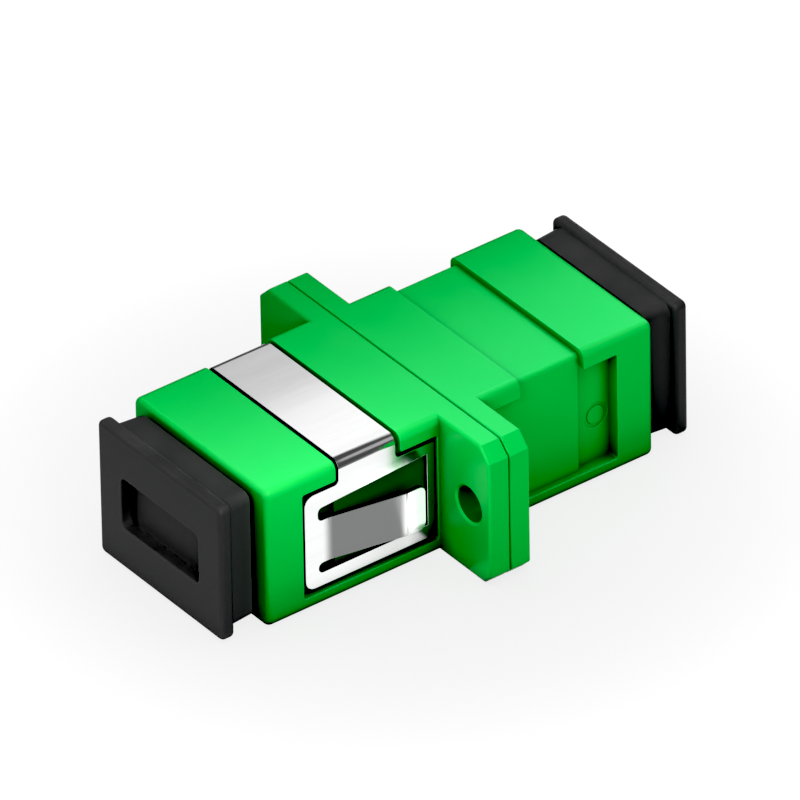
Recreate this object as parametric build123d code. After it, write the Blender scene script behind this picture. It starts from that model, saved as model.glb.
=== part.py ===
from build123d import *
import os

os.makedirs("parts", exist_ok=True)

# Millimetres. The optical axis is Y, the seam between the two halves lies in the XZ plane, and Z is up.
# The front port faces -Y. Every half is drawn as the front one and turned about Z for the rear.

# Casing
body_width = 12.9
body_height = 9.6
casing_length = 28.4
body_edge_radius = 0.55
mouth_edge_radius = 0.35
seam_bevel = 0.1

# Flange
hole_spacing = 18.2
hole_diameter = 2.3
hole_bevel = 0.15
hole_to_end = 2.05
flange_thickness = 3.0
flange_top_bevel = 0.9
flange_bottom_bevel = 0.65
flange_face_radius = 0.2

# Port
port_width = 9.1
port_height = 7.4
port_corner_radius = 0.4
port_lead_in = 0.3
keyway_width = 2.5
keyway_depth = 0.6
keyway_length = 7.0

# Seat for the clip, the same in both halves, with distances taken from the seam
strap_seat_start = 4.4
strap_seat_width = 4.7
strap_seat_depth = 0.36
panel_start = 1.7
panel_length = 9.85
panel_depth = 0.45
panel_top = 3.55
panel_bottom = -3.85
panel_corner_radius = 0.15
relief_length = 2.55
relief_depth = 0.8

# Ring left by an ejector pin in the panel on one side
pin_mark_diameter = 1.7
pin_mark_line = 0.22
pin_mark_depth = 0.06
pin_mark_from_end = 1.02
pin_mark_height = -0.7

# Metal clip
sheet = 0.3
seat_gap = 0.03
strap_width = 4.2
strap_bend_radius = 0.3
strap_foot_radius = 0.3
frame_port_gap = 0.2
frame_flange_gap = 0.1
frame_bottom_gap = 0.35
frame_top = 3.2
frame_corner_radius = 0.7
port_bar = 1.0
flange_bar = 0.6
bottom_bar = 0.95
top_bar_at_port = 1.2
top_bar_at_flange = 0.75
slot_end_radius = 0.3
tongue_bottom = -1.9
tongue_width = 3.05
tongue_root = 0.75
tongue_slope = 5.05
tongue_rise = 0.92
tongue_tip = 1.35
tongue_tip_radius = 0.5
tongue_bend_radius = 0.8

# Latch insert
insert_plate_width = 10.3
insert_plate_height = 8.3
insert_plate_thickness = 1.5
insert_fit = 0.05
barrel_diameter = 4.7
barrel_reach = 7.0
barrel_end_bevel = 0.25
barrel_mouth_bevel = 0.4
lip_bore = 2.9
hook_arm_gap = 0.85
hook_arm_thickness = 0.6
hook_arm_height = 3.6
hook_arm_reach = 8.6
hook_end_bevel = 0.25
hook_nose = 0.45
hook_nose_length = 1.1
hook_nose_ramp = 0.6

# Alignment sleeve
ferrule_diameter = 2.5
sleeve_wall = 0.35
sleeve_length = 11.4
sleeve_slit = 0.5
sleeve_end_bevel = 0.12
sleeve_float = 0.05
sleeve_end_float = 0.1

# Dust cap
cap_stand_off = 0.3
cap_shoulder_width = 10.7
cap_shoulder_height = 8.8
cap_shoulder_length = 1.75
cap_shoulder_draft = 4.0
cap_shoulder_radius = 0.6
cap_plate_width = 11.95
cap_plate_height = 9.4
cap_plate_thickness = 0.95
cap_plate_corner_radius = 0.4
cap_plate_edge_radius = 0.3
cap_plug_fit = 0.08
cap_plug_reach = 5.2
cap_plug_corner_radius = 0.5
cap_plug_lead_in = 0.35
cap_wall = 0.9
cap_floor = 1.0
cap_pocket_width = 7.5
cap_pocket_height = 3.5
cap_pocket_depth = 0.75
cap_pocket_radius = 0.4

# Worked out from the sizes above
half_length = casing_length / 2
half_flange = flange_thickness / 2
flange_width = hole_spacing + 2 * hole_to_end
side = body_width / 2
top = body_height / 2
panel_end = panel_start + panel_length
panel_floor = side - panel_depth
relief_floor = side - relief_depth
strap_seat_end = strap_seat_start + strap_seat_width
strap_middle = -strap_seat_start - strap_seat_width / 2
sleeve_diameter = ferrule_diameter + 2 * sleeve_wall
overshoot = 1.0


def box_between(x, y, z):
    """Box from the (low, high) pairs on the three axes."""
    size = [high - low for low, high in (x, y, z)]
    centre = [(high + low) / 2 for low, high in (x, y, z)]
    return Pos(*centre) * Box(*size)


def rectangle_between(low, high):
    """Sketch rectangle between two corners."""
    centre = Pos((low[0] + high[0]) / 2, (low[1] + high[1]) / 2)
    return centre * Rectangle(high[0] - low[0], high[1] - low[1])


def along_y(sketch, start, end, taper=0):
    """Prism on an (X, Z) sketch from Y = start out to Y = end, narrowed by the taper in degrees."""
    plane = Plane(origin=(0, start, 0), x_dir=(1, 0, 0), z_dir=(0, -1, 0))
    return extrude(plane * sketch, amount=start - end, taper=taper)


def across_x(sketch, start, end):
    """Prism on a (Y, Z) sketch from X = start to X = end."""
    return extrude(Plane.YZ.offset(start) * sketch, amount=end - start)


def cone_along_y(start_diameter, end_diameter, start, end, x=0):
    """Cone along Y at the height of the axis, from Y = start out to Y = end."""
    place = Pos(x, (start + end) / 2, 0) * Rot(90, 0, 0)
    return place * Cone(start_diameter / 2, end_diameter / 2, start - end)


def cylinder_along_y(diameter, start, end, x=0):
    """Cylinder along Y at the height of the axis, from Y = start out to Y = end."""
    return Pos(x, (start + end) / 2, 0) * Rot(90, 0, 0) * Cylinder(diameter / 2, start - end)


def both_sides(solid):
    """The solid with its mirror image on the other side of the axis."""
    return solid + mirror(solid, about=Plane.YZ)


def turned(solid):
    """The rear copy of a front piece."""
    return Rot(0, 0, 180) * solid


def seat_outline():
    """Side view of the clip's seat: the frame's panel, and the strap's way up to the top edge."""
    panel = rectangle_between((-panel_end, panel_bottom), (-panel_start, panel_top))
    way_up = rectangle_between((-strap_seat_end, 0), (-strap_seat_start, top + overshoot))
    outline = panel + way_up
    corners = outline.vertices().filter_by(lambda corner: corner.Y < top)
    return fillet(corners, panel_corner_radius)


def clip_seat():
    """What is cut from a half for the clip: a panel with its relief on each side, and the groove."""
    panels = across_x(seat_outline(), panel_floor, side + overshoot)
    port_end = rectangle_between((-panel_end, panel_bottom), (-panel_end + relief_length, panel_top))
    panels += across_x(seat_outline() & port_end, relief_floor, side)
    over_top = rectangle_between((-side - overshoot, panel_top), (side + overshoot, top + overshoot))
    core = rectangle_between((-panel_floor, 0), (panel_floor, top - strap_seat_depth))
    over_top -= fillet(core.vertices().group_by(Axis.Y)[-1], strap_bend_radius)
    return both_sides(panels) + along_y(over_top, -strap_seat_start, -strap_seat_end)


def pin_mark():
    """Shallow ring cut in the floor of the relief on the -X side."""
    ring = Circle(pin_mark_diameter / 2) - Circle(pin_mark_diameter / 2 - pin_mark_line)
    ring = Pos(-panel_end + pin_mark_from_end, pin_mark_height) * ring
    return across_x(ring, -relief_floor - overshoot, -relief_floor + pin_mark_depth)


def port_space():
    """Connector space with its lead-in and keyway, and the pocket for the insert's plate."""
    bore = RectangleRounded(port_width, port_height, port_corner_radius)
    pocket = Rectangle(insert_plate_width + 2 * insert_fit, insert_plate_height + 2 * insert_fit)
    space = along_y(bore, 0, -half_length - overshoot)
    space += along_y(bore, -half_length + port_lead_in, -half_length - port_lead_in, taper=-45)
    space += along_y(pocket, overshoot, -insert_plate_thickness - insert_fit)
    return space + box_between(
        (-keyway_width / 2, keyway_width / 2),
        (-half_length - overshoot, -half_length + keyway_length),
        (-port_height / 2 - keyway_depth, 0))


def flange_half():
    """Half of the flange's thickness, with the seam's bevel at Y = 0."""
    outline = Rectangle(flange_width, body_height)
    outline = chamfer(outline.vertices().group_by(Axis.Y)[-1], flange_top_bevel)
    outline = chamfer(outline.vertices().group_by(Axis.Y)[0], flange_bottom_bevel)
    plate = along_y(outline, 0, -half_flange)
    plate = fillet(plate.faces().sort_by(Axis.Y)[0].edges(), flange_face_radius)
    return chamfer(plate.faces().sort_by(Axis.Y)[-1].edges(), seam_bevel)


def casing_half():
    """Moulded half, from the seam to its port."""
    section = RectangleRounded(body_width, body_height, body_edge_radius)
    body = along_y(section, -half_flange / 2, -half_length)
    body = fillet(body.faces().sort_by(Axis.Y)[0].edges(), mouth_edge_radius)
    half = body + flange_half() - clip_seat() - port_space() - pin_mark()
    for x in (-hole_spacing / 2, hole_spacing / 2):
        half -= cylinder_along_y(hole_diameter, overshoot, -half_flange - overshoot, x)
        half -= cone_along_y(hole_diameter, hole_diameter + 2 * hole_bevel,
                             -half_flange + hole_bevel, -half_flange, x)
    return half


def hook_arm():
    """Spring arm on the +X side of the barrel, with its catch turned inwards at the port end."""
    inner = barrel_diameter / 2 + hook_arm_gap
    outer = inner + hook_arm_thickness
    root = -insert_plate_thickness / 2
    tip = -hook_arm_reach
    outline = Polyline(
        (inner, root), (outer, root), (outer, tip + hook_end_bevel), (outer - hook_end_bevel, tip),
        (inner, tip), (inner - hook_nose, tip + hook_nose_ramp),
        (inner - hook_nose, tip + hook_nose_length), (inner, tip + hook_nose_length), close=True)
    return Pos(0, 0, -hook_arm_height / 2) * extrude(make_face(outline), amount=hook_arm_height)


def latch_insert():
    """Plate, half barrel and two hook arms in one moulding."""
    insert = box_between(
        (-insert_plate_width / 2, insert_plate_width / 2), (-insert_plate_thickness, 0),
        (-insert_plate_height / 2, insert_plate_height / 2))
    barrel = cylinder_along_y(barrel_diameter, -insert_plate_thickness / 2, -barrel_reach)
    insert += chamfer(barrel.faces().sort_by(Axis.Y)[0].edges(), barrel_end_bevel)
    insert += both_sides(hook_arm())
    insert -= cylinder_along_y(sleeve_diameter + 2 * sleeve_float, overshoot,
                               -sleeve_length / 2 - sleeve_end_float)
    insert -= cylinder_along_y(lip_bore, 0, -barrel_reach - overshoot)
    return insert - cone_along_y(lip_bore, lip_bore + 2 * barrel_mouth_bevel,
                                 -barrel_reach + barrel_mouth_bevel, -barrel_reach)


def split_sleeve():
    """Ceramic tube with a slit along its top."""
    tube = cylinder_along_y(sleeve_diameter, sleeve_length / 2, -sleeve_length / 2)
    tube -= cylinder_along_y(ferrule_diameter, sleeve_length, -sleeve_length)
    tube = chamfer(tube.edges().filter_by(GeomType.CIRCLE), sleeve_end_bevel)
    return tube - box_between(
        (-sleeve_slit / 2, sleeve_slit / 2), (-sleeve_length, sleeve_length), (0, sleeve_diameter))


def frame_outline():
    """Side view of one frame: a plate with the strap's foot, and a window round the tongue's root."""
    port_end = -panel_end + frame_port_gap
    flange_end = -panel_start - frame_flange_gap
    low = panel_bottom + frame_bottom_gap
    plate = rectangle_between((port_end, low), (flange_end, frame_top))
    plate = fillet(plate.vertices().group_by(Axis.X)[0], frame_corner_radius)
    foot_ends = [strap_middle - strap_width / 2, strap_middle + strap_width / 2]
    plate += rectangle_between((foot_ends[0], 0), (foot_ends[1], panel_top))
    level = plate.vertices().filter_by(lambda corner: abs(corner.Y - frame_top) < seat_gap)
    plate = fillet(level.sort_by(lambda corner: abs(corner.X - strap_middle))[:2], strap_foot_radius)
    window = make_face(Polyline(
        (port_end + port_bar, low + bottom_bar), (flange_end - flange_bar, low + bottom_bar),
        (flange_end - flange_bar, frame_top - top_bar_at_flange),
        (port_end + port_bar, frame_top - top_bar_at_port), close=True))
    root = rectangle_between(
        (port_end, tongue_bottom), (port_end + port_bar + tongue_root, tongue_bottom + tongue_width))
    plate -= window - root
    slot_ends = plate.vertices().filter_by(lambda corner: abs(corner.X - port_end - port_bar) < seat_gap)
    return fillet(slot_ends, slot_end_radius)


def spring_tongue(inside):
    """Tongue that leaves the frame's plane, whose inner face is at X = inside, and ends in a flat tip."""
    middle = inside + sheet / 2
    bend = -panel_end + frame_port_gap + port_bar + tongue_root
    crest = bend + tongue_slope
    path = FilletPolyline(
        (middle, bend - tongue_root / 2), (middle, bend), (middle + tongue_rise, crest),
        (middle + tongue_rise, crest + tongue_tip), radius=tongue_bend_radius)
    tongue = Pos(0, 0, tongue_bottom) * extrude(trace(path, sheet), amount=tongue_width)
    tip = tongue.faces().sort_by(Axis.Y)[-1]
    return fillet(tip.edges().filter_by(Axis.X), tongue_tip_radius)


def metal_clip():
    """Strap over the top, with a frame and its spring tongue on each side, folded from one sheet."""
    inside = panel_floor + seat_gap
    frame = across_x(frame_outline(), inside, inside + sheet) + spring_tongue(inside)
    strap_level = top - strap_seat_depth + seat_gap + sheet / 2
    strap_half = inside + sheet / 2
    path = FilletPolyline(
        (-strap_half, frame_top), (-strap_half, strap_level),
        (strap_half, strap_level), (strap_half, frame_top),
        radius=strap_bend_radius + seat_gap + sheet / 2)
    strap = along_y(trace(path, sheet), strap_middle + strap_width / 2, strap_middle - strap_width / 2)
    return strap + both_sides(frame)


def dust_cap():
    """Hollow plug with a shoulder and a plate, which has a finger pocket in its face."""
    shoulder_start = -half_length - cap_stand_off
    plate_start = shoulder_start - cap_shoulder_length
    plate_end = plate_start - cap_plate_thickness
    plug_end = -half_length + cap_plug_reach
    plug_width = port_width - 2 * cap_plug_fit
    plug_height = port_height - 2 * cap_plug_fit
    plug = along_y(RectangleRounded(plug_width, plug_height, cap_plug_corner_radius),
                   plug_end, shoulder_start - cap_shoulder_length / 2)
    plug = chamfer(plug.faces().sort_by(Axis.Y)[-1].edges(), cap_plug_lead_in)
    shoulder = along_y(
        RectangleRounded(cap_shoulder_width, cap_shoulder_height, cap_shoulder_radius),
        shoulder_start, plate_start - cap_plate_thickness / 2, taper=-cap_shoulder_draft)
    plate = along_y(RectangleRounded(cap_plate_width, cap_plate_height, cap_plate_corner_radius),
                    plate_start, plate_end)
    rims = plate.faces().sort_by(Axis.Y)
    plate = fillet(rims[0].edges() + rims[-1].edges(), cap_plate_edge_radius)
    cap = plug + shoulder + plate
    cap -= along_y(Rectangle(plug_width - 2 * cap_wall, plug_height - 2 * cap_wall),
                   plug_end + overshoot, plate_end + cap_pocket_depth + cap_floor)
    pocket = RectangleRounded(cap_pocket_width, cap_pocket_height, cap_pocket_radius)
    return cap - along_y(pocket, plate_end + cap_pocket_depth, plate_end - overshoot)


housing = casing_half()
insert = latch_insert()
cap = dust_cap()

pieces = {
    "front_housing": housing,
    "rear_housing": turned(housing),
    "front_latch_insert": insert,
    "rear_latch_insert": turned(insert),
    "split_sleeve": split_sleeve(),
    "metal_clip": metal_clip(),
    "front_dust_cap": cap,
    "rear_dust_cap": turned(cap),
}

for name, solid in pieces.items():
    export_step(solid, f"parts/{name}.step")
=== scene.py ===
import math
import bpy
import bmesh
from mathutils import Matrix, Vector


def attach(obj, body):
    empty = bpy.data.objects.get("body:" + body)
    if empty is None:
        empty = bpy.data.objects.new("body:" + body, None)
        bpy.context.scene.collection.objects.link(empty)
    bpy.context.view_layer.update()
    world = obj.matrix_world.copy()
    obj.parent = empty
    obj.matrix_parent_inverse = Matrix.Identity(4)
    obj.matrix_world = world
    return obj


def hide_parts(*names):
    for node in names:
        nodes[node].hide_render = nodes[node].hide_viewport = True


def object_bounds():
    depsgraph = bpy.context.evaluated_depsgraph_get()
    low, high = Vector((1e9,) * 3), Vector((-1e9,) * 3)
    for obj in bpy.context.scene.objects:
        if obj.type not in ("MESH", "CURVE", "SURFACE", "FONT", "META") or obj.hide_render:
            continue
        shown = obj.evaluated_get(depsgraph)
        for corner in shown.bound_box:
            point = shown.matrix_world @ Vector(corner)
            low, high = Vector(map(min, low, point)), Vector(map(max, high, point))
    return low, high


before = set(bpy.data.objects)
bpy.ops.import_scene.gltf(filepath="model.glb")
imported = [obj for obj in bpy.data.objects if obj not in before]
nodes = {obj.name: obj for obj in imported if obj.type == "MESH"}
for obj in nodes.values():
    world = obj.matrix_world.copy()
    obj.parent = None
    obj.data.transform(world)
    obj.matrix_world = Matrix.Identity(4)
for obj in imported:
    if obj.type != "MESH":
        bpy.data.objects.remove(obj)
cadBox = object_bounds()
scene = bpy.context.scene
mm = 0.001
print("frame loaded:", len(nodes), "nodes")


# Camera: where it stands round the adapter, in degrees and millimetres

camera = {
    "azimuth": 53.342, "elevation": 34.940, "roll": -1.038, "distance": 1173.25,
    "lens": 899.71, "sensor": 36, "aside": 0.322, "above": 1.501, "nearest": 50, "farthest": 5000,
}
blackLevel = 0.04  # the photograph's deep blacks


def placeCamera(c):
    az, el, roll = (math.radians(c[k]) for k in ("azimuth", "elevation", "roll"))
    back = Vector((math.sin(az) * math.cos(el), -math.cos(az) * math.cos(el), math.sin(el)))
    right = Vector((0, 0, 1)).cross(back).normalized()
    up = back.cross(right)
    turned = math.cos(roll) * right + math.sin(roll) * up
    upright = -math.sin(roll) * right + math.cos(roll) * up
    data = bpy.data.cameras.new("camera")
    data.lens, data.sensor_width = c["lens"], c["sensor"]
    data.clip_start, data.clip_end = c["nearest"] * mm, c["farthest"] * mm
    cam = bpy.data.objects.new("camera", data)
    place = (back * c["distance"] + turned * c["aside"] + upright * c["above"]) * mm
    cam.matrix_world = Matrix.Translation(place) @ Matrix((turned, upright, back)).transposed().to_4x4()
    scene.collection.objects.link(cam)
    scene.camera = cam


placeCamera(camera)
scene.view_settings.view_transform = "Standard"
scene.view_settings.use_curve_mapping = True
scene.view_settings.curve_mapping.black_level = (blackLevel,) * 3
print("camera placed")


# Nodes: helpers that feed a socket, add a node or a sum, and start a named group

def feed(tree, socket, value):
    # the socket is joined to another node's output, or set to a value
    if isinstance(value, bpy.types.NodeSocket):
        tree.links.new(value, socket)
    else:
        socket.default_value = value


def linkedNode(tree, kind, **inputs):
    made = tree.nodes.new(kind)
    for name, value in inputs.items():
        feed(tree, made.inputs[name], value)
    return made


def worked(tree, operation, *terms, kind="ShaderNodeMath", clamp=False):
    # a sum of numbers, or of vectors
    made = tree.nodes.new(kind)
    made.operation = operation
    if kind == "ShaderNodeMath":
        made.use_clamp = clamp
    for socket, term in zip(made.inputs, terms):
        feed(tree, socket, term)
    return made.outputs[0]


def product(tree, first, *others):
    for other in others:
        first = worked(tree, "MULTIPLY", first, other)
    return first


def faded(tree, value, low, high, bottom=0.0, top=1.0):
    # bottom below low, top above high, and a smooth slope between them
    made = tree.nodes.new("ShaderNodeMapRange")
    made.interpolation_type = "SMOOTHSTEP"
    tree.links.new(value, made.inputs["Value"])
    for socket, number in {"From Min": low, "From Max": high, "To Min": bottom, "To Max": top}.items():
        made.inputs[socket].default_value = number
    return made.outputs["Result"]


def within(tree, value, low, high):
    # 1 between low and high, 0 elsewhere
    return product(tree, worked(tree, "GREATER_THAN", value, low), worked(tree, "LESS_THAN", value, high))


def blended(tree, amount, first, second, way="MIX"):
    # two colours mixed, or the first multiplied by the second
    made = tree.nodes.new("ShaderNodeMix")
    made.data_type, made.blend_type = "RGBA", way
    factor, colourA, colourB = 0, 6, 7  # the mix node's own sockets for a colour
    for socket, value in {factor: amount, colourA: first, colourB: second}.items():
        feed(tree, made.inputs[socket], value)
    return made.outputs[2]


def noise(tree, place, scale, detail=2.0, roughness=0.5):
    made = linkedNode(tree, "ShaderNodeTexNoise", Vector=place, Scale=scale, Detail=detail, Roughness=roughness)
    return made.outputs["Fac"]


def axes(tree, vector):
    return linkedNode(tree, "ShaderNodeSeparateXYZ", Vector=vector).outputs


def newGroup(name, takes, gives):
    # takes names each number that goes in, with its usual value; every group also takes a Place
    group = bpy.data.node_groups.new(name, "ShaderNodeTree")
    group.interface.new_socket("Place", in_out="INPUT", socket_type="NodeSocketVector")
    for socket, value in takes.items():
        group.interface.new_socket(socket, in_out="INPUT", socket_type="NodeSocketFloat").default_value = value
    for socket in gives:
        group.interface.new_socket(socket, in_out="OUTPUT", socket_type="NodeSocketFloat")
    return group, group.nodes.new("NodeGroupInput").outputs, group.nodes.new("NodeGroupOutput").inputs


# Effects: each is a group that any finish can use

def mouldedGrain():
    # Skin of a spark-eroded mould: fine pits, over broad faint clouds where the melt flowed
    group, taken, given = newGroup(
        "mouldedGrain", {"Fineness": 7000, "Flow": 350, "Mottle": 0.04, "Roughness": 0.35, "Unevenness": 0.06},
        ("Height", "Shade", "Roughness"))
    pits = noise(group, taken["Place"], taken["Fineness"], detail=3, roughness=0.6)
    clouds = noise(group, taken["Place"], taken["Flow"], detail=3, roughness=0.55)
    middle, cloudShare = 0.5, 2.0
    cloudy = product(group, worked(group, "SUBTRACT", clouds, middle), taken["Mottle"])
    pitted = product(group, worked(group, "SUBTRACT", pits, middle), taken["Mottle"])
    shade = worked(group, "ADD", worked(group, "MULTIPLY_ADD", cloudy, cloudShare, 1.0), pitted)
    uneven = worked(group, "SUBTRACT", worked(group, "ADD", pits, clouds), 2 * middle)
    rough = worked(group, "MULTIPLY_ADD", uneven, taken["Unevenness"], taken["Roughness"])
    for socket, result in {"Height": pits, "Shade": shade, "Roughness": rough}.items():
        group.links.new(result, given[socket])
    return group


def wornAndHighlitEdges():
    # Rubbed corners, and a painted highlight: outer edges painted lighter. Inside is how open a point is towards the
    # solid, low along an outer edge
    group, taken, given = newGroup("wornAndHighlitEdges", {"Inside": 1.0, "Patches": 900, "Amount": 0.5}, ("Mask",))
    edge = faded(group, taken["Inside"], low=0.55, high=0.95, bottom=1.0, top=0.0)
    spots = noise(group, taken["Place"], taken["Patches"], detail=4, roughness=0.6)
    patchy = faded(group, spots, low=0.35, high=0.6, bottom=0.35, top=1.0)
    group.links.new(product(group, edge, patchy, taken["Amount"]), given["Mask"])
    return group


def settledDust():
    # Specks and a thin film on what faces up, with Upward as the height of the surface's normal
    group, taken, given = newGroup(
        "settledDust", {"Upward": 0.0, "Specks": 2600, "Film": 260, "Amount": 0.1}, ("Mask",))
    level = faded(group, taken["Upward"], low=0.3, high=0.95)
    film = faded(group, noise(group, taken["Place"], taken["Film"], detail=3), low=0.35, high=0.7, bottom=0.2, top=0.7)
    specks = faded(group, noise(group, taken["Place"], taken["Specks"]), low=0.68, high=0.76)
    lying = worked(group, "MAXIMUM", film, specks)
    group.links.new(product(group, level, lying, taken["Amount"]), given["Mask"])
    return group


def drawnLines():
    # Hair lines left by rolling or grinding. A higher Across makes them finer, and a higher Along shorter in y.
    group, taken, given = newGroup(
        "drawnLines", {"Across": 16000, "Along": 260, "Streaks": 0.16, "Roughness": 0.2, "Unevenness": 0.08},
        ("Height", "Shade", "Roughness"))
    stretch = linkedNode(group, "ShaderNodeCombineXYZ", X=taken["Across"], Y=taken["Along"], Z=taken["Across"])
    drawn = worked(group, "MULTIPLY", taken["Place"], stretch.outputs[0], kind="ShaderNodeVectorMath")
    broader = (0.08, 0.25, 0.08)
    broad = worked(group, "MULTIPLY", drawn, broader, kind="ShaderNodeVectorMath")
    lines = noise(group, drawn, 1.0, detail=4, roughness=0.65)
    bands = noise(group, broad, 1.0)
    both = worked(group, "SUBTRACT", worked(group, "ADD", lines, bands), 1.0)
    shade = worked(group, "MULTIPLY_ADD", both, taken["Streaks"], 1.0)
    rough = worked(group, "MULTIPLY_ADD", both, taken["Unevenness"], taken["Roughness"])
    for socket, result in {"Height": lines, "Shade": shade, "Roughness": rough}.items():
        group.links.new(result, given[socket])
    return group


groups = {make.__name__: make() for make in (mouldedGrain, wornAndHighlitEdges, settledDust, drawnLines)}
print("effects grouped:", ", ".join(groups))


def effect(tree, name, **inputs):
    made = tree.nodes.new("ShaderNodeGroup")
    made.node_tree = groups[name]
    for socket, value in inputs.items():
        feed(tree, made.inputs[socket], value)
    return made.outputs


# Finishes: a green moulding, a black cap, a cream insert, a ceramic tube and a pressed steel sheet.
# Lengths and places are in millimetres. Where the open sky falls below its share, in hollows, creases and gaps,
# the colour is blended towards a painted hollow tone: painted shade, and in the black cap a lighter tone that
# paints light into its hollows. On the clip this painted shade also darkens the steel beside the ear, a painted
# dark reflection. The casing's plastic isn't metallic: its Metallic of 0.3 only tints the sheen green, as in the
# photograph.

finishes = {
    "casingGreen": {
        "colour": (0.015, 0.345, 0.055), "metallic": 0.3, "specular": 0.3,
        "paintedHollowTone": (0.006, 0.05, 0.024), "creviceReach": 1.6, "creviceFrom": 0.32, "creviceShare": 0.85,
        "wearAndEdgeHighlight": (0.03, 0.5, 0.14), "edgeReach": 0.16, "wearAndHighlightShare": 0.35, "dust": 0.01,
        "shaded": (0.003, 0.09, 0.02), "bores": {"apart": 9.1, "radius": 1.17},
        "underClip": {"low": (5.0, -11.6, -3.9), "high": (6.05, -1.65, 3.6)},
        "grain": {"Fineness": 7000, "Flow": 300, "Mottle": 0.035, "Roughness": 0.33, "Unevenness": 0.06},
        "pitDepth": 0.0012,
    },
    "capBlack": {
        "colour": (0.042, 0.042, 0.043), "metallic": 0.0, "specular": 0.35,
        "paintedHollowTone": (0.09, 0.09, 0.088), "creviceReach": 1.2, "creviceFrom": 0.25, "creviceShare": 0.55,
        "wearAndEdgeHighlight": (0.08, 0.08, 0.08), "edgeReach": 0.2, "wearAndHighlightShare": 0.4, "dust": 0.03,
        "grain": {"Fineness": 5200, "Flow": 260, "Mottle": 0.08, "Roughness": 0.55, "Unevenness": 0.1},
        "pitDepth": 0.003,
    },
    "insertCream": {
        "colour": (0.72, 0.66, 0.52), "metallic": 0.0, "specular": 0.45,
        "paintedHollowTone": (0.34, 0.27, 0.17), "creviceReach": 1.4, "creviceFrom": 0.2, "creviceShare": 0.7,
        "wearAndEdgeHighlight": (0.8, 0.77, 0.68), "edgeReach": 0.16, "wearAndHighlightShare": 0.3, "dust": 0.02,
        "grain": {"Fineness": 6000, "Flow": 320, "Mottle": 0.04, "Roughness": 0.42, "Unevenness": 0.08},
        "pitDepth": 0.0015,
    },
    "sleeveZirconia": {
        "colour": (0.85, 0.84, 0.8), "metallic": 0.0, "specular": 0.8,
        "paintedHollowTone": (0.5, 0.48, 0.44), "creviceReach": 0.8, "creviceFrom": 0.2, "creviceShare": 0.6,
        "lines": {"Across": 1800, "Along": 26000, "Roughness": 0.2, "Unevenness": 0.08}, "lineDepth": 0.0004,
    },
    "clipSteel": {
        "colour": (0.79, 0.79, 0.795), "metallic": 1.0, "specular": 0.5,
        "paintedHollowTone": (0.02, 0.025, 0.02), "creviceReach": 2.4, "creviceFrom": 0.52, "creviceShare": 0.95,
        "lines": {"Across": 15000, "Along": 240, "Roughness": 0.17, "Unevenness": 0.07}, "lineDepth": 0.0006,
        "sheared": {"colour": (0.3, 0.3, 0.305), "roughness": 0.42, "strapFrom": (3.9, 4.2), "facing": (0.55, 0.8)},
        "tongue": {"colour": (0.2, 0.2, 0.202), "root": (-10.1, -9.3), "tip": (-5.1, -4.2), "height": (-2.0, 1.3)},
    },
}
shared = {
    "creviceTo": 0.95, "creviceSamples": 12, "edgeSamples": 8, "wornRoughness": -0.1,
    "dustColour": (0.7, 0.68, 0.64), "dustRoughness": 1.5,
}


def opaque(colour):
    return (*colour, 1)


def openFinish(name, f):
    # the material, its tree, its shader, its places and the share of painted hollow shade at each point
    material = bpy.data.materials.new(name)
    material.use_nodes = True
    tree = material.node_tree
    shader = tree.nodes["Principled BSDF"]
    shader.inputs["Metallic"].default_value = f["metallic"]
    shader.inputs["Specular IOR Level"].default_value = f["specular"]
    around = tree.nodes.new("ShaderNodeTexCoord").outputs
    sky = linkedNode(tree, "ShaderNodeAmbientOcclusion", Distance=f["creviceReach"] * mm)
    sky.samples = shared["creviceSamples"]
    # deep is how much of the painted hollow tone a point gets, from how little open sky it sees: painted shade
    deep = faded(tree, sky.outputs["AO"], f["creviceFrom"], shared["creviceTo"], f["creviceShare"], 0.0)
    return material, tree, shader, around, deep


def closeFinish(tree, shader, colour, rough, height, depth):
    tree.links.new(colour, shader.inputs["Base Color"])
    tree.links.new(rough, shader.inputs["Roughness"])
    bump = linkedNode(tree, "ShaderNodeBump", Strength=1.0, Distance=depth * mm, Height=height)
    tree.links.new(bump.outputs[0], shader.inputs["Normal"])


def shadedPlaces(tree, place, f):
    # The walls of the two screw holes and the floor of the clip's seat are painted dark, since the photograph shows
    # them in shade. It is paint and not shadow, so it stays in any light.
    at = axes(tree, place)
    aside = worked(tree, "SUBTRACT", worked(tree, "ABSOLUTE", at["X"]), f["bores"]["apart"] * mm)
    squared = worked(tree, "MULTIPLY_ADD", aside, aside, product(tree, at["Z"], at["Z"]))
    bores = worked(tree, "LESS_THAN", squared, (f["bores"]["radius"] * mm) ** 2)
    along = {"X": worked(tree, "ABSOLUTE", at["X"]), "Y": at["Y"], "Z": at["Z"]}
    sides = zip(along.values(), f["underClip"]["low"], f["underClip"]["high"])
    seat = product(tree, *(within(tree, value, low * mm, high * mm) for value, low, high in sides))
    return worked(tree, "MAXIMUM", bores, seat)


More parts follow.
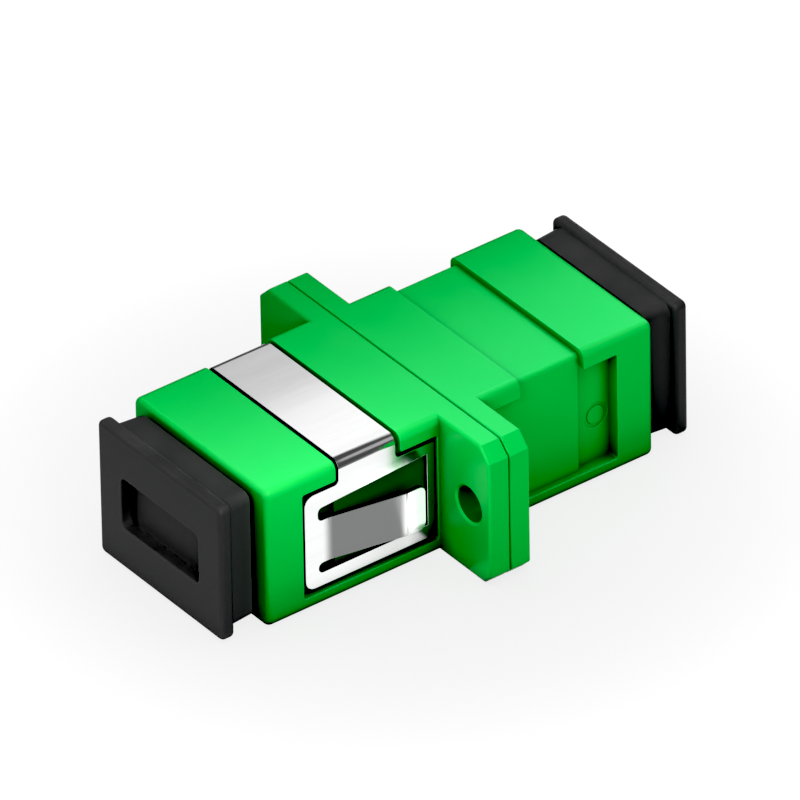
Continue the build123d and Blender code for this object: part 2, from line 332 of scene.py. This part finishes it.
def mouldedFinish(name, f):
    material, tree, shader, around, deep = openFinish(name, f)
    place = around["Object"]
    grain = effect(tree, "mouldedGrain", Place=place, **f["grain"])
    inside = linkedNode(tree, "ShaderNodeAmbientOcclusion", Distance=f["edgeReach"] * mm)
    inside.inside, inside.samples = True, shared["edgeSamples"]
    wearAndEdgeHighlight = effect(tree, "wornAndHighlitEdges", Place=place, Inside=inside.outputs["AO"], Amount=f["wearAndHighlightShare"])["Mask"]
    upward = axes(tree, around["Normal"])["Z"]
    dust = effect(tree, "settledDust", Place=place, Upward=upward, Amount=f["dust"])["Mask"]
    # outer edges painted lighter: partly rubbed wear, partly a painted highlight along the edges
    colour = blended(tree, wearAndEdgeHighlight, opaque(f["colour"]), opaque(f["wearAndEdgeHighlight"]))
    colour = blended(tree, 1.0, colour, grain["Shade"], way="MULTIPLY")
    # painted shade in hollows, creases and gaps (a lighter painted light in the black cap)
    colour = blended(tree, deep, colour, opaque(f["paintedHollowTone"]))
    if "shaded" in f:
        colour = blended(tree, shadedPlaces(tree, place, f), colour, opaque(f["shaded"]))
    colour = blended(tree, dust, colour, opaque(shared["dustColour"]))
    rough = worked(tree, "MULTIPLY_ADD", wearAndEdgeHighlight, shared["wornRoughness"], grain["Roughness"])
    rough = worked(tree, "MULTIPLY_ADD", dust, shared["dustRoughness"], rough, clamp=True)
    closeFinish(tree, shader, colour, rough, grain["Height"], f["pitDepth"])
    return material


def drawnFinish(name, f):
    # Steel sheet and ceramic tube. The sheet's sheared edges are grey and rough. A tongue's slope is painted the grey
    # that it reflects in the photograph.
    material, tree, shader, around, deep = openFinish(name, f)
    lines = effect(tree, "drawnLines", Place=around["Object"], **f["lines"])
    colour = blended(tree, 1.0, opaque(f["colour"]), lines["Shade"], way="MULTIPLY")
    rough = lines["Roughness"]
    if "sheared" in f:
        facing, place = axes(tree, around["Normal"]), axes(tree, around["Object"])
        cut, tongue = f["sheared"], f["tongue"]
        onSide = faded(tree, place["Z"], *(z * mm for z in cut["strapFrom"]), bottom=1.0, top=0.0)
        upDown = product(tree, worked(tree, "ABSOLUTE", facing["Z"]), onSide)
        endways = worked(tree, "ABSOLUTE", facing["Y"])
        sheared = faded(tree, worked(tree, "MAXIMUM", upDown, endways), *cut["facing"])
        slope = product(
            tree, faded(tree, place["Y"], *(y * mm for y in tongue["root"])),
            faded(tree, place["Y"], *(y * mm for y in tongue["tip"]), bottom=1.0, top=0.0),
            within(tree, place["Z"], *(z * mm for z in tongue["height"])))
        colour = blended(tree, slope, colour, opaque(tongue["colour"]))
        colour = blended(tree, sheared, colour, opaque(cut["colour"]))
        rough = worked(tree, "MAXIMUM", rough, product(tree, sheared, cut["roughness"]))
    # painted shade in hollows; on the clip also a painted dark reflection on the steel beside the ear
    colour = blended(tree, deep, colour, opaque(f["paintedHollowTone"]))
    closeFinish(tree, shader, colour, rough, lines["Height"], f["lineDepth"])
    return material


finished = {name: (drawnFinish if "lines" in f else mouldedFinish)(name, f) for name, f in finishes.items()}
print("finishes mixed:", ", ".join(finished))


# Mouldings and pressings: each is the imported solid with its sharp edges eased, as a mould or a press leaves them

casing = {"body": "adapter", "slot": "casing_green", "finish": "casingGreen", "ease": 0.045}
insert = {"body": "adapter", "slot": "insert_cream", "finish": "insertCream", "ease": 0.05}
cap = {"slot": "cap_black", "finish": "capBlack", "ease": 0.06}
eased = {
    "frontCasing": {"node": "front_housing", **casing},
    "rearCasing": {"node": "rear_housing", **casing},
    "clipSheet": {"node": "metal_clip", "body": "adapter", "slot": "clip_steel", "finish": "clipSteel", "ease": 0.05},
    "frontInsert": {"node": "front_latch_insert", **insert},
    "rearInsert": {"node": "rear_latch_insert", **insert},
    "ferruleSleeve": {
        "node": "split_sleeve", "body": "adapter", "slot": "sleeve_white", "finish": "sleeveZirconia", "ease": 0.02,
    },
    "frontCap": {"node": "front_dust_cap", "body": "front_cap", **cap},
    "rearCap": {"node": "rear_dust_cap", "body": "rear_cap", **cap},
}
# what is merged in millimetres, what counts as flat and as sharp in degrees, and how round and flat it ends
easing = {"merge": 0.012, "flat": 0.3, "sharp": 32, "segments": 2, "flatWeight": 100}


def easedPiece(name, e):
    # Loose triangles are merged and their flats dissolved; every outer edge sharper than "sharp" gets a small bevel.
    mesh = nodes[e["node"]].data.copy()
    mesh.name = name
    shape = bmesh.new()
    shape.from_mesh(mesh)
    bmesh.ops.remove_doubles(shape, verts=shape.verts, dist=easing["merge"] * mm)
    bmesh.ops.dissolve_limit(
        shape, angle_limit=math.radians(easing["flat"]), verts=shape.verts, edges=shape.edges)
    weight = shape.edges.layers.float.new("bevel_weight_edge")
    for face in shape.faces:
        face.smooth = True
    for edge in shape.edges:
        sharp = edge.calc_face_angle() > math.radians(easing["sharp"])
        edge[weight] = float(sharp and edge.is_convex)
        edge.smooth = edge.is_convex or not sharp  # an inner corner stays crisp
    shape.to_mesh(mesh)
    shape.free()
    if "custom_normal" in mesh.attributes:
        mesh.attributes.remove(mesh.attributes["custom_normal"])
    mesh.materials.clear()
    mesh.materials.append(finished[e["finish"]])
    piece = bpy.data.objects.new(name, mesh)
    scene.collection.objects.link(piece)
    bevel = piece.modifiers.new("easedEdges", "BEVEL")
    bevel.limit_method, bevel.width, bevel.segments = "WEIGHT", e["ease"] * mm, easing["segments"]
    bevel.use_clamp_overlap = False
    flats = piece.modifiers.new("flatFaces", "WEIGHTED_NORMAL")
    flats.mode, flats.weight, flats.keep_sharp = "FACE_AREA", easing["flatWeight"], True
    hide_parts(e["node"])
    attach(piece, e["body"])
    return piece


pieces = {name: easedPiece(name, e) for name, e in eased.items()}
print("edges eased on", len(pieces), "pieces")


# Studio: a soft box only lights the surface, and a sheen box only shows in its gloss. Each has its place, aim
# and size in millimetres and its radiance, and lights every finish unless one is named. The boxes were set finish
# by finish until the colours neared the photograph's, so they aren't a real studio's.

def softBox(place, aim, size, radiance, finish=None, kind="soft", tint=(1, 1, 1)):
    return {"place": place, "aim": aim, "size": size, "radiance": radiance, "finish": finish, "kind": kind,
            "tint": tint}


def sheenBox(place, aim, size, radiance, finish, tint=(1, 1, 1)):
    return softBox(place, aim, size, radiance, finish, "sheen", tint)


topTint = (0.5, 1, 1)
studio = {
    "world": 0.12,
    "boxes": {
        "overheadBox": softBox((0, 0, 130), (0, 0, 0), (150, 150), 1.5),
        "frontKicker": softBox((14, -24, 24), (8, -12, 0), (20, 20), 5.4, "casingGreen"),
        "rearKicker": softBox((14, 22, 26), (8, 15, 0), (16, 20), 7.6, "casingGreen"),
        "rimKicker": softBox((0, -23, 11), (0, -14, 3), (16, 3), 8.0, "casingGreen"),
        "earKicker": softBox((13, -12, 14), (9, -1.5, 2), (6, 6), 23.0, "casingGreen"),
        "sideStrip": softBox((24, 0, 6), (8, 0, 0), (10, 80), 3.1, "casingGreen"),
        "keyBox": softBox((-36, -46, 60), (0, 0, 0), (40, 40), 3.2, "casingGreen"),
        "leftFillBox": softBox((-60, -80, 30), (0, 0, 0), (80, 40), 0.5, "casingGreen"),
        "rearTopBox": softBox((30, 50, 60), (0, 0, 0), (40, 40), 0.3, "casingGreen"),
        "backStrip": sheenBox((-13, 17, 24), (6, 0, 4.7), (14, 90), 2.3, "casingGreen", topTint),
        "backPanel": sheenBox((-45, 40, 45), (0, 0, 4.7), (50, 110), 0.1, "casingGreen", topTint),
        "rightCard": sheenBox((17, 2, -4.65), (17, 2, 5), (16, 56), 0.8, "casingGreen", (0.4, 1, 0.45)),
        "leftCard": sheenBox((-6, -26, -4.65), (-6, -26, 5), (40, 16), 0.3, "casingGreen", (0.5, 1, 0.5)),
        "edgeStrip": sheenBox((-3, 26, 46), (0, 0, 4.7), (30, 60), 1.3, "casingGreen", topTint),
        "sheetPanel": sheenBox((-26, 26, 40), (2, -6, 4.7), (36, 70), 0.66, "clipSteel"),
        "sheetGlow": sheenBox((-10, 12, 18), (3, -6, 4.7), (8, 30), 0.5, "clipSteel"),
        "sheetBend": sheenBox((38, 26, 44), (6, -7, 4), (30, 60), 0.4, "clipSteel"),
        "sheetCard": sheenBox((15, 4, -4.65), (15, 4, 5), (18, 50), 1.05, "clipSteel"),
        "tipCard": sheenBox((8.9, -3.0, -1.4), (6.9, -4.5, 0.4), (2.4, 3.2), 1.0, "clipSteel"),
        "capKey": softBox((-40, -80, 70), (0, -16, 0), (60, 60), 1.5, "capBlack"),
        "capSideBox": softBox((60, -34, 30), (5, -16, 0), (40, 60), 8.0, "capBlack"),
        "capFill": softBox((-50, -80, 8), (0, -16, 0), (60, 30), 8.0, "capBlack"),
        "capTopSheen": sheenBox((-40, 40, 50), (0, 0, 4.7), (60, 110), 0.1, "capBlack"),
        "capFaceSheen": sheenBox((-10, -26, -4.65), (-10, -26, 5), (40, 17), 0.6, "capBlack"),
        "capRearFill": softBox((-70, 70, 14), (0, 16, 0), (70, 30), 24, "capBlack"),
        "capRearSheen": sheenBox((0, 30, -4.65), (0, 30, 5), (60, 25), 0.8, "capBlack"),
        "rearFill": softBox((-80, 60, 12), (0, 0, 0), (60, 30), 6.0, "casingGreen"),
        "sheetLeftCard": sheenBox((-16, -4, -4.65), (-16, -4, 5), (20, 50), 1.0, "clipSteel"),
        "sheetRightPanel": sheenBox((60, -50, 34), (0, -6, 4), (90, 50), 0.75, "clipSteel"),
        "sheetLeftPanel": sheenBox((-60, -60, 34), (0, -6, 4), (90, 50), 0.6, "clipSteel"),
        "insertBox": softBox((30, -60, 50), (0, 0, 0), (50, 50), 6, "insertCream"),
        "insertRearBox": softBox((-30, 60, 40), (0, 0, 0), (50, 50), 6, "insertCream"),
    },
    # the floor's glow rises from near to far, so its dimmer glow near the adapter is a painted shade round it;
    # shadowShare is how much of the real shading the camera sees on it
    "floor": {"size": 900, "grey": 0.4, "near": 12, "far": 60, "glowNear": 1.27, "glowFar": 2.0, "shadowShare": 0.35},
}


def lightWorld(strength):
    world = bpy.data.worlds.new("studioWorld")
    world.use_nodes = True
    back = world.node_tree.nodes["Background"]
    back.inputs["Color"].default_value = (1, 1, 1, 1)
    back.inputs["Strength"].default_value = strength
    scene.world = world


def hangBox(name, box):
    light = bpy.data.lights.new(name, "AREA")
    light.shape = "RECTANGLE"
    light.size, light.size_y = (v * mm for v in box["size"])
    light.energy = box["radiance"] * math.pi * light.size * light.size_y
    light.color = box["tint"]
    lamp = bpy.data.objects.new(name, light)
    place, aim = Vector(box["place"]) * mm, Vector(box["aim"]) * mm
    facing = (place - aim).normalized()
    across = Vector((0, 1, 0)).cross(facing).normalized()  # a box's second side lies along the adapter
    turned = Matrix((across, facing.cross(across), facing)).transposed().to_4x4()
    lamp.matrix_world = Matrix.Translation(place) @ turned
    lamp.visible_camera = False
    lamp.visible_diffuse = box["kind"] == "soft"
    lamp.visible_glossy = box["kind"] == "sheen"
    if box["finish"]:
        lit = bpy.data.collections.new(name + "Lit")
        for piece, e in eased.items():
            if e["finish"] == box["finish"]:
                lit.objects.link(pieces[piece])
        lamp.light_linking.receiver_collection = lit
    scene.collection.objects.link(lamp)


def paleFloor(f):
    # the camera sees a bright floor with soft shadows, and everything else sees plain grey paper
    material = bpy.data.materials.new("paleFloor")
    material.use_nodes = True
    tree = material.node_tree
    tree.nodes.clear()
    paper = linkedNode(tree, "ShaderNodeBsdfDiffuse", Color=opaque((f["grey"],) * 3))
    place = tree.nodes.new("ShaderNodeTexCoord").outputs["Object"]
    away = linkedNode(tree, "ShaderNodeVectorMath")
    away.operation = "LENGTH"
    tree.links.new(place, away.inputs[0])
    # a glow dimmer near the adapter: painted shade round it
    pool = faded(tree, away.outputs["Value"], f["near"] * mm, f["far"] * mm, f["glowNear"], f["glowFar"])
    glow = linkedNode(tree, "ShaderNodeEmission", Color=(1, 1, 1, 1), Strength=pool)
    seen = linkedNode(tree, "ShaderNodeMixShader", Fac=1 - f["shadowShare"])
    tree.links.new(paper.outputs[0], seen.inputs[1])
    tree.links.new(glow.outputs[0], seen.inputs[2])
    path = tree.nodes.new("ShaderNodeLightPath")
    both = linkedNode(tree, "ShaderNodeMixShader", Fac=path.outputs["Is Camera Ray"])
    tree.links.new(paper.outputs[0], both.inputs[1])
    tree.links.new(seen.outputs[0], both.inputs[2])
    out = tree.nodes.new("ShaderNodeOutputMaterial")
    tree.links.new(both.outputs[0], out.inputs["Surface"])
    return material


def layFloor(f):
    half, low = f["size"] / 2 * mm, cadBox[0].z
    corners = [(-half, -half, low), (half, -half, low), (half, half, low), (-half, half, low)]
    mesh = bpy.data.meshes.new("floor")
    mesh.from_pydata(corners, [], [(0, 1, 2, 3)])
    mesh.materials.append(paleFloor(f))
    floor = bpy.data.objects.new("floor", mesh)
    scene.collection.objects.link(floor)


lightWorld(studio["world"])
for name, box in studio["boxes"].items():
    hangBox(name, box)
layFloor(studio["floor"])
print("studio lit")
